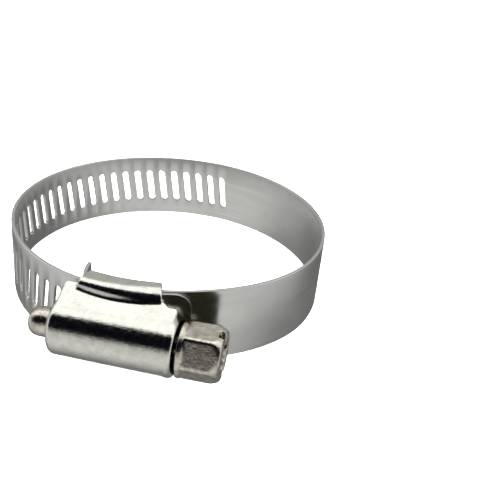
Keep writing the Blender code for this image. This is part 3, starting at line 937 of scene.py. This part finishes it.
def build_shank(material):
    """Knob, neck and core, turned as one piece that runs into the head."""
    rear = BARREL_START - 0.4 * MM
    step = BARREL_START + 1.3 * MM
    stop = COLLAR_START + 0.5 * MM
    corners = [(KNOB_END, 0.0), (KNOB_END, KNOB_FACE_RADIUS)]
    corners += [(KNOB_END + 0.55 * MM, KNOB_BEVEL_RADIUS), (KNOB_END + 1.5 * MM, KNOB_RADIUS)]
    corners += [(rear - 0.35 * MM, KNOB_RADIUS), (rear, KNOB_BEVEL_RADIUS)]
    corners += [(rear, NECK_RADIUS), (step, NECK_RADIUS), (step, CORE_RADIUS)]
    corners += [(stop, CORE_RADIUS), (stop, 0.0)]
    item = lathe_object("screw_shank", rounded_profile(corners, 0.6 * MM), material)
    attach(item, "worm_screw")


def thread_start():
    """Where the ridge starts, so that its turns lie in the slots above it."""
    top_u = slotted_strip().u_at(0.0)
    hinge_u = LEFT_LINKS * SLOTS_PER_LINK * SLOT_PITCH
    return (hinge_u + 0.5 * SLOT_PITCH - top_u) % SLOT_PITCH - 3.0 * SLOT_PITCH


def thread_section(fade):
    """(shift along the axis, radius) round the ridge, which sinks into the core at its ends."""
    low = CORE_RADIUS - 0.3 * MM
    crest = low + 0.1 * MM + fade * (THREAD_RADIUS - low - 0.1 * MM)
    half = [(THREAD_ROOT_HALF, low), (THREAD_SHOULDER_HALF, crest - THREAD_ROUNDING),
            (THREAD_CREST_HALF, crest)]
    return [(-shift, radius) for shift, radius in half] + half[::-1]


def build_thread(material):
    """Right-hand worm ridge in step with the slots above it."""
    start = thread_start()
    steps = 48
    count = steps * THREAD_TURNS
    verts, faces = [], []
    for k in range(count + 1):
        turn = 2.0 * math.pi * k / steps
        middle = start + SLOT_PITCH * k / steps
        fade = float(smooth(min(k, count - k) / (0.35 * steps)))
        for shift, radius in thread_section(fade):
            verts.append((middle + shift, AXIS_Y + radius * math.cos(turn), radius * math.sin(turn)))
    for k in range(count):
        for c in range(6):
            n = (c + 1) % 6
            faces.append((6 * k + c, 6 * k + n, 6 * k + n + 6, 6 * k + c + 6))
    faces.append(tuple(range(6))[::-1])
    faces.append(tuple(6 * count + c for c in range(6)))
    item = add_object("screw_thread", verts, faces, material, 40.0)
    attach(item, "worm_screw")


# ---------------------------------------------------------------- stage

# Studio seen in the metal: (degrees from the front horizon over the top, brightness)
ROOM = ((-180.0, 0.15), (-150.0, 0.12), (-120.0, 0.17), (-95.0, 0.17), (-72.0, 0.34),
        (-50.0, 0.53), (-35.0, 0.58), (0.0, 0.46), (12.0, 0.14), (19.0, 0.002), (71.0, 0.001),
        (77.0, 1.0), (113.0, 1.05), (125.0, 0.50), (152.0, 0.34), (180.0, 0.20))
ROOM_SIDE = (0.50, 0.50, 0.50)
ROOM_SIDE_EDGE = (0.80, 0.98)
ROOM_STRENGTH = 1.25
# The table lies this far below the clamp
TABLE_GAP = 0.06 * MM
# A dark card that the band reflects, for the shaded gap behind the screw's head
GAP_SHADE_DEG = (13.8, 33.0)
GAP_SHADE_RADIUS = 29.3 * MM
GAP_SHADE_TOP = 7.0 * MM
GAP_SHADE_DROP = 2.2 * MM
KEY_POWER = 20.0
# Place, size and power of each soft light
SOFT_BOXES = (((0.05, 0.1, 0.7), 0.9, KEY_POWER), ((-0.6, -0.3, 0.5), 0.8, 10.0),
              ((0.6, -0.3, 0.5), 0.8, 10.0))

CAMERA_TURN_DEG = 7.5
CAMERA_ELEVATION_DEG = 27.86
CAMERA_ROLL_DEG = 6.44
CAMERA_DISTANCE = 137.6 * MM
CAMERA_AIM = (15.12 * MM, 1.44 * MM, 0.0)
CAMERA_LENS = 52.16


def build_camera():
    """Looks a little down on the clamp from in front of its screw."""
    rise = math.radians(CAMERA_ELEVATION_DEG)
    spin = Matrix.Rotation(math.radians(CAMERA_TURN_DEG), 3, "Z")
    back = Vector((0.0, -math.cos(rise), math.sin(rise)))
    right = Vector((1.0, 0.0, 0.0))
    up = Vector((0.0, math.sin(rise), math.cos(rise)))
    roll = math.radians(CAMERA_ROLL_DEG)
    right, up = (math.cos(roll) * right + math.sin(roll) * up,
                 math.cos(roll) * up - math.sin(roll) * right)
    axes = [spin @ v for v in (right, up, back)]
    place = spin @ (Vector(CAMERA_AIM) + CAMERA_DISTANCE * back)
    data = bpy.data.cameras.new("camera")
    data.lens = CAMERA_LENS
    data.sensor_width = 36.0
    data.clip_start = 0.005
    data.clip_end = 10.0
    camera = bpy.data.objects.new("camera", data)
    matrix = Matrix((axes[0], axes[1], axes[2])).transposed().to_4x4()
    matrix.translation = place
    camera.matrix_world = matrix
    bpy.context.scene.collection.objects.link(camera)
    bpy.context.scene.camera = camera


def add_area(name, size, power, place, aim):
    data = bpy.data.lights.new(name, "AREA")
    data.energy = power
    data.size = size
    light = bpy.data.objects.new(name, data)
    light.location = place
    direction = Vector(aim) - Vector(place)
    light.rotation_euler = direction.to_track_quat("-Z", "Y").to_euler()
    bpy.context.scene.collection.objects.link(light)
    return light


def grid_faces(cells):
    """Quads of a square grid whose points come row by row."""
    corners = [i * (cells + 1) + j for i in range(cells) for j in range(cells)]
    return [(a, a + cells + 1, a + cells + 2, a + 1) for a in corners]


def build_floor():
    """A pale table that the wrap's fold and the far edge of the band both rest on."""
    low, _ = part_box("housing")
    rest_front = low[2]
    rest_back = -BAND_HALF_WIDTH
    front_y = -0.5 * (WRAP_INNER + WRAP_OUTER)
    slope = (rest_back - rest_front) / (RING_RADIUS - front_y)
    mesh = bpy.data.meshes.new("table_top")
    reach, cells = 1.5, 8
    ticks = np.linspace(-reach, reach, cells + 1)
    verts = [(x, y, rest_front + slope * (y - front_y) - TABLE_GAP) for x in ticks for y in ticks]
    mesh.from_pydata(verts, [], grid_faces(cells))
    mesh.materials.append(floor_material())
    item = bpy.data.objects.new("table_top", mesh)
    bpy.context.scene.collection.objects.link(item)
    item.visible_glossy = False


def build_gap_shade():
    """The dark gap behind the screw's head, seen only in the band's reflections."""
    n = Nodes("gap_shade")
    place = n.add("ShaderNodeTexCoord").outputs["Object"]
    tone = n.ramp(n.noise(place, 240.0, 2.0), 0.35, 0.65, 0.0, 1.0)
    n.link(n.mix(tone, (0.001, 0.001, 0.002), (0.024, 0.021, 0.006)), n.shader.inputs["Base Color"])
    n.shader.inputs["Roughness"].default_value = 1.0
    n.shader.inputs["Specular IOR Level"].default_value = 0.0
    verts = []
    cells = 10
    for i in range(cells + 1):
        psi = GAP_SHADE_DEG[0] + (GAP_SHADE_DEG[1] - GAP_SHADE_DEG[0]) * i / cells
        x, y = ring_point(psi, GAP_SHADE_RADIUS)
        top = GAP_SHADE_TOP - GAP_SHADE_DROP * (i / cells) ** 4
        for j in range(cells + 1):
            verts.append((x, y, -BAND_HALF_WIDTH + (top + BAND_HALF_WIDTH) * j / cells))
    shade = add_object("gap_shade", verts, grid_faces(cells), n.material)
    shade.visible_camera = False
    shade.visible_diffuse = False
    shade.visible_shadow = False


def fill_ramp(ramp):
    """Sets the studio's brightness on a colour ramp, a stop for each angle."""
    stops = ramp.color_ramp.elements
    while len(stops) > 1:
        stops.remove(stops[-1])
    for index, (degrees, value) in enumerate(ROOM):
        place_on_ramp = (degrees + 180.0) / 360.0
        stop = stops[0] if index == 0 else stops.new(place_on_ramp)
        stop.position = place_on_ramp
        stop.color = (value, value, value * 0.96 + 0.002, 1.0)


def room_brightness(n):
    """Brightness of the studio by direction: a bright screen overhead, a dark front wall
    and a pale table below. The angle runs from the front horizon over the top."""
    place = n.add("ShaderNodeTexCoord").outputs["Generated"]
    split = n.add("ShaderNodeSeparateXYZ")
    n.link(place, split.inputs[0])
    front = n.add("ShaderNodeMath", operation="MULTIPLY")
    front.inputs[1].default_value = -1.0
    n.link(split.outputs["Y"], front.inputs[0])
    angle = n.add("ShaderNodeMath", operation="ARCTAN2")
    n.link(split.outputs["Z"], angle.inputs[0])
    n.link(front.outputs[0], angle.inputs[1])
    share = n.ramp(angle.outputs[0], -math.pi, math.pi, 0.0, 1.0)
    ramp = n.add("ShaderNodeValToRGB")
    n.link(share, ramp.inputs["Fac"])
    fill_ramp(ramp)
    side = n.add("ShaderNodeMath", operation="ABSOLUTE")
    n.link(split.outputs["X"], side.inputs[0])
    away = n.ramp(side.outputs[0], *ROOM_SIDE_EDGE, 0.0, 1.0)
    return n.blend(away, ramp.outputs["Color"], ROOM_SIDE)


class WorldNodes(Nodes):
    """The same helpers for the studio's surroundings."""

    def __init__(self, name):
        self.world = bpy.data.worlds.new(name)
        self.world.use_nodes = True
        self.tree = self.world.node_tree
        self.shader = self.tree.nodes["Background"]


def build_light():
    n = WorldNodes("studio")
    seen = n.add("ShaderNodeBackground")
    seen.inputs["Color"].default_value = (1.0, 1.0, 1.0, 1.0)
    n.link(room_brightness(n), n.shader.inputs["Color"])
    n.shader.inputs["Strength"].default_value = ROOM_STRENGTH
    path = n.add("ShaderNodeLightPath")
    choose = n.add("ShaderNodeMixShader")
    n.link(path.outputs["Is Camera Ray"], choose.inputs[0])
    n.link(n.shader.outputs[0], choose.inputs[1])
    n.link(seen.outputs[0], choose.inputs[2])
    n.link(choose.outputs[0], n.tree.nodes["World Output"].inputs["Surface"])
    bpy.context.scene.world = n.world
    for place, size, power in SOFT_BOXES:
        light = add_area("soft_box", size, power, place, (0.0, 0.0, 0.0))
        light.visible_glossy = False
        light.data.use_shadow = power < KEY_POWER
    bpy.context.scene.view_settings.view_transform = "Standard"


# ---------------------------------------------------------------- assembly

BAND = band_metal()
build_right_band(BAND)
build_left_band(BAND)
build_housing(housing_metal())
SCREW = screw_metal()
build_head(SCREW)
build_shank(SCREW)
build_thread(shaded_ridge_metal())
build_floor()
build_gap_shade()
build_light()
build_camera()
